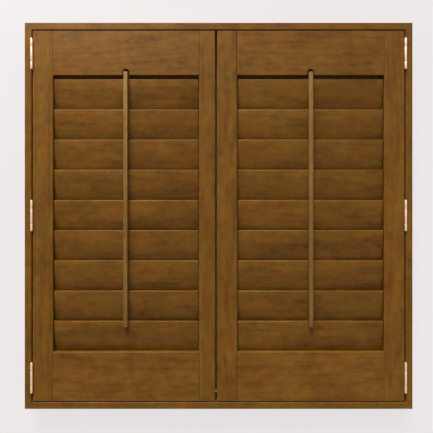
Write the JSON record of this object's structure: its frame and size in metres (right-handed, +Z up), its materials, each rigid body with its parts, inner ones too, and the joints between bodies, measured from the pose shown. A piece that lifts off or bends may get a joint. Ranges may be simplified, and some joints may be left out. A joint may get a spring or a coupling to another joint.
{
  "type": "louvred wooden window shutter",
  "caption": "Pair of stained wooden louvred shutter panels hinged in a mitred L-section frame, each with tilting elliptical louvers worked by an upright tilt rod.",
  "frame": {"origin": "centre of the frame's back, in the plane of the wall, which is the centre of the wall-screw pattern", "axes": "+X along the wall to the right, +Y from the room into the wall, +Z up"},
  "size_m": [0.974, 0.0584, 0.97],
  "materials": {
    "stained_wood": "brown stain under satin lacquer",
    "satin_nickel": "satin nickel",
    "staple_steel": "plain zinc-plated steel",
    "catch_plastic": "matte brown moulding",
    "key_plastic": "matte black moulding"
  },
  "bodies": {
    "frame": {"frame_head": "stained_wood", "frame_sill": "stained_wood", "frame_left_jamb": "stained_wood", "frame_right_jamb": "stained_wood", "frame_corner_keys": "key_plastic", "frame_hinge_leaves": "satin_nickel", "hinge_pins": "satin_nickel", "magnet_catches": "catch_plastic"},
    "left_panel": {"left_hinge_stile": "stained_wood", "left_meeting_stile": "stained_wood", "left_top_rail": "stained_wood", "left_bottom_rail": "stained_wood", "left_panel_hinge_leaves": "satin_nickel", "left_strike_plate": "staple_steel"},
    "left_louver_1": {"left_louver_1": "stained_wood", "left_louver_1_staple": "staple_steel"},
    "left_louver_2": {"left_louver_2": "stained_wood", "left_louver_2_staple": "staple_steel"},
    "left_louver_3": {"left_louver_3": "stained_wood", "left_louver_3_staple": "staple_steel"},
    "left_louver_4": {"left_louver_4": "stained_wood", "left_louver_4_staple": "staple_steel"},
    "left_louver_5": {"left_louver_5": "stained_wood", "left_louver_5_staple": "staple_steel"},
    "left_louver_6": {"left_louver_6": "stained_wood", "left_louver_6_staple": "staple_steel"},
    "left_louver_7": {"left_louver_7": "stained_wood", "left_louver_7_staple": "staple_steel"},
    "left_louver_8": {"left_louver_8": "stained_wood", "left_louver_8_staple": "staple_steel"},
    "left_louver_9": {"left_louver_9": "stained_wood", "left_louver_9_staple": "staple_steel"},
    "left_tilt_rod": {"left_tilt_rod": "stained_wood", "left_rod_staples": "staple_steel"},
    "right_panel": {"right_hinge_stile": "stained_wood", "right_meeting_stile": "stained_wood", "right_top_rail": "stained_wood", "right_bottom_rail": "stained_wood", "right_panel_hinge_leaves": "satin_nickel", "right_strike_plate": "staple_steel"},
    "right_louver_1": {"right_louver_1": "stained_wood", "right_louver_1_staple": "staple_steel"},
    "right_louver_2": {"right_louver_2": "stained_wood", "right_louver_2_staple": "staple_steel"},
    "right_louver_3": {"right_louver_3": "stained_wood", "right_louver_3_staple": "staple_steel"},
    "right_louver_4": {"right_louver_4": "stained_wood", "right_louver_4_staple": "staple_steel"},
    "right_louver_5": {"right_louver_5": "stained_wood", "right_louver_5_staple": "staple_steel"},
    "right_louver_6": {"right_louver_6": "stained_wood", "right_louver_6_staple": "staple_steel"},
    "right_louver_7": {"right_louver_7": "stained_wood", "right_louver_7_staple": "staple_steel"},
    "right_louver_8": {"right_louver_8": "stained_wood", "right_louver_8_staple": "staple_steel"},
    "right_louver_9": {"right_louver_9": "stained_wood", "right_louver_9_staple": "staple_steel"},
    "right_tilt_rod": {"right_tilt_rod": "stained_wood", "right_rod_staples": "staple_steel"}
  },
  "joints": [
    {"name": "left_panel_swing", "type": "hinge", "parent": "frame", "child": "left_panel", "pos_m": [-0.4685, -0.0543, 0], "axis": [0, 0, -1], "range_deg": [0, 165]},
    {"name": "left_louver_1_tilt", "type": "hinge", "parent": "left_panel", "child": "left_louver_1", "pos_m": [-0.23283, -0.0365, 0.301], "axis": [1, 0, 0], "range_deg": [0, 125]},
    {"name": "left_louver_2_tilt", "type": "hinge", "parent": "left_panel", "child": "left_louver_2", "pos_m": [-0.23283, -0.0365, 0.2248], "axis": [1, 0, 0], "range_deg": [0, 125]},
    {"name": "left_louver_3_tilt", "type": "hinge", "parent": "left_panel", "child": "left_louver_3", "pos_m": [-0.23283, -0.0365, 0.1486], "axis": [1, 0, 0], "range_deg": [0, 125]},
    {"name": "left_louver_4_tilt", "type": "hinge", "parent": "left_panel", "child": "left_louver_4", "pos_m": [-0.23283, -0.0365, 0.0724], "axis": [1, 0, 0], "range_deg": [0, 125]},
    {"name": "left_louver_5_tilt", "type": "hinge", "parent": "left_panel", "child": "left_louver_5", "pos_m": [-0.23283, -0.0365, -0.0038], "axis": [1, 0, 0], "range_deg": [0, 125]},
    {"name": "left_louver_6_tilt", "type": "hinge", "parent": "left_panel", "child": "left_louver_6", "pos_m": [-0.23283, -0.0365, -0.08], "axis": [1, 0, 0], "range_deg": [0, 125]},
    {"name": "left_louver_7_tilt", "type": "hinge", "parent": "left_panel", "child": "left_louver_7", "pos_m": [-0.23283, -0.0365, -0.1562], "axis": [1, 0, 0], "range_deg": [0, 125]},
    {"name": "left_louver_8_tilt", "type": "hinge", "parent": "left_panel", "child": "left_louver_8", "pos_m": [-0.23283, -0.0365, -0.2324], "axis": [1, 0, 0], "range_deg": [0, 125]},
    {"name": "left_louver_9_tilt", "type": "hinge", "parent": "left_panel", "child": "left_louver_9", "pos_m": [-0.23283, -0.0365, -0.3086], "axis": [1, 0, 0], "range_deg": [0, 125]},
    {"name": "left_rod_swing", "type": "hinge", "parent": "left_louver_5", "child": "left_tilt_rod", "pos_m": [-0.23283, -0.04482, 0.04337], "axis": [1, 0, 0], "range_deg": [-125, 0]},
    {"name": "right_panel_swing", "type": "hinge", "parent": "frame", "child": "right_panel", "pos_m": [0.4685, -0.0543, 0], "axis": [0, 0, 1], "range_deg": [0, 165]},
    {"name": "right_louver_1_tilt", "type": "hinge", "parent": "right_panel", "child": "right_louver_1", "pos_m": [0.23158, -0.0365, 0.301], "axis": [1, 0, 0], "range_deg": [0, 125]},
    {"name": "right_louver_2_tilt", "type": "hinge", "parent": "right_panel", "child": "right_louver_2", "pos_m": [0.23158, -0.0365, 0.2248], "axis": [1, 0, 0], "range_deg": [0, 125]},
    {"name": "right_louver_3_tilt", "type": "hinge", "parent": "right_panel", "child": "right_louver_3", "pos_m": [0.23158, -0.0365, 0.1486], "axis": [1, 0, 0], "range_deg": [0, 125]},
    {"name": "right_louver_4_tilt", "type": "hinge", "parent": "right_panel", "child": "right_louver_4", "pos_m": [0.23158, -0.0365, 0.0724], "axis": [1, 0, 0], "range_deg": [0, 125]},
    {"name": "right_louver_5_tilt", "type": "hinge", "parent": "right_panel", "child": "right_louver_5", "pos_m": [0.23158, -0.0365, -0.0038], "axis": [1, 0, 0], "range_deg": [0, 125]},
    {"name": "right_louver_6_tilt", "type": "hinge", "parent": "right_panel", "child": "right_louver_6", "pos_m": [0.23158, -0.0365, -0.08], "axis": [1, 0, 0], "range_deg": [0, 125]},
    {"name": "right_louver_7_tilt", "type": "hinge", "parent": "right_panel", "child": "right_louver_7", "pos_m": [0.23158, -0.0365, -0.1562], "axis": [1, 0, 0], "range_deg": [0, 125]},
    {"name": "right_louver_8_tilt", "type": "hinge", "parent": "right_panel", "child": "right_louver_8", "pos_m": [0.23158, -0.0365, -0.2324], "axis": [1, 0, 0], "range_deg": [0, 125]},
    {"name": "right_louver_9_tilt", "type": "hinge", "parent": "right_panel", "child": "right_louver_9", "pos_m": [0.23158, -0.0365, -0.3086], "axis": [1, 0, 0], "range_deg": [0, 125]},
    {"name": "right_rod_swing", "type": "hinge", "parent": "right_louver_5", "child": "right_tilt_rod", "pos_m": [0.23158, -0.04482, 0.04337], "axis": [1, 0, 0], "range_deg": [-125, 0]}
  ],
  "couplings": [
    {"joint": "left_louver_1_tilt", "follows": "left_louver_5_tilt", "ratio": 1},
    {"joint": "left_louver_2_tilt", "follows": "left_louver_5_tilt", "ratio": 1},
    {"joint": "left_louver_3_tilt", "follows": "left_louver_5_tilt", "ratio": 1},
    {"joint": "left_louver_4_tilt", "follows": "left_louver_5_tilt", "ratio": 1},
    {"joint": "left_louver_6_tilt", "follows": "left_louver_5_tilt", "ratio": 1},
    {"joint": "left_louver_7_tilt", "follows": "left_louver_5_tilt", "ratio": 1},
    {"joint": "left_louver_8_tilt", "follows": "left_louver_5_tilt", "ratio": 1},
    {"joint": "left_louver_9_tilt", "follows": "left_louver_5_tilt", "ratio": 1},
    {"joint": "left_rod_swing", "follows": "left_louver_5_tilt", "ratio": -1},
    {"joint": "right_louver_1_tilt", "follows": "right_louver_5_tilt", "ratio": 1},
    {"joint": "right_louver_2_tilt", "follows": "right_louver_5_tilt", "ratio": 1},
    {"joint": "right_louver_3_tilt", "follows": "right_louver_5_tilt", "ratio": 1},
    {"joint": "right_louver_4_tilt", "follows": "right_louver_5_tilt", "ratio": 1},
    {"joint": "right_louver_6_tilt", "follows": "right_louver_5_tilt", "ratio": 1},
    {"joint": "right_louver_7_tilt", "follows": "right_louver_5_tilt", "ratio": 1},
    {"joint": "right_louver_8_tilt", "follows": "right_louver_5_tilt", "ratio": 1},
    {"joint": "right_louver_9_tilt", "follows": "right_louver_5_tilt", "ratio": 1},
    {"joint": "right_rod_swing", "follows": "right_louver_5_tilt", "ratio": -1}
  ]
}
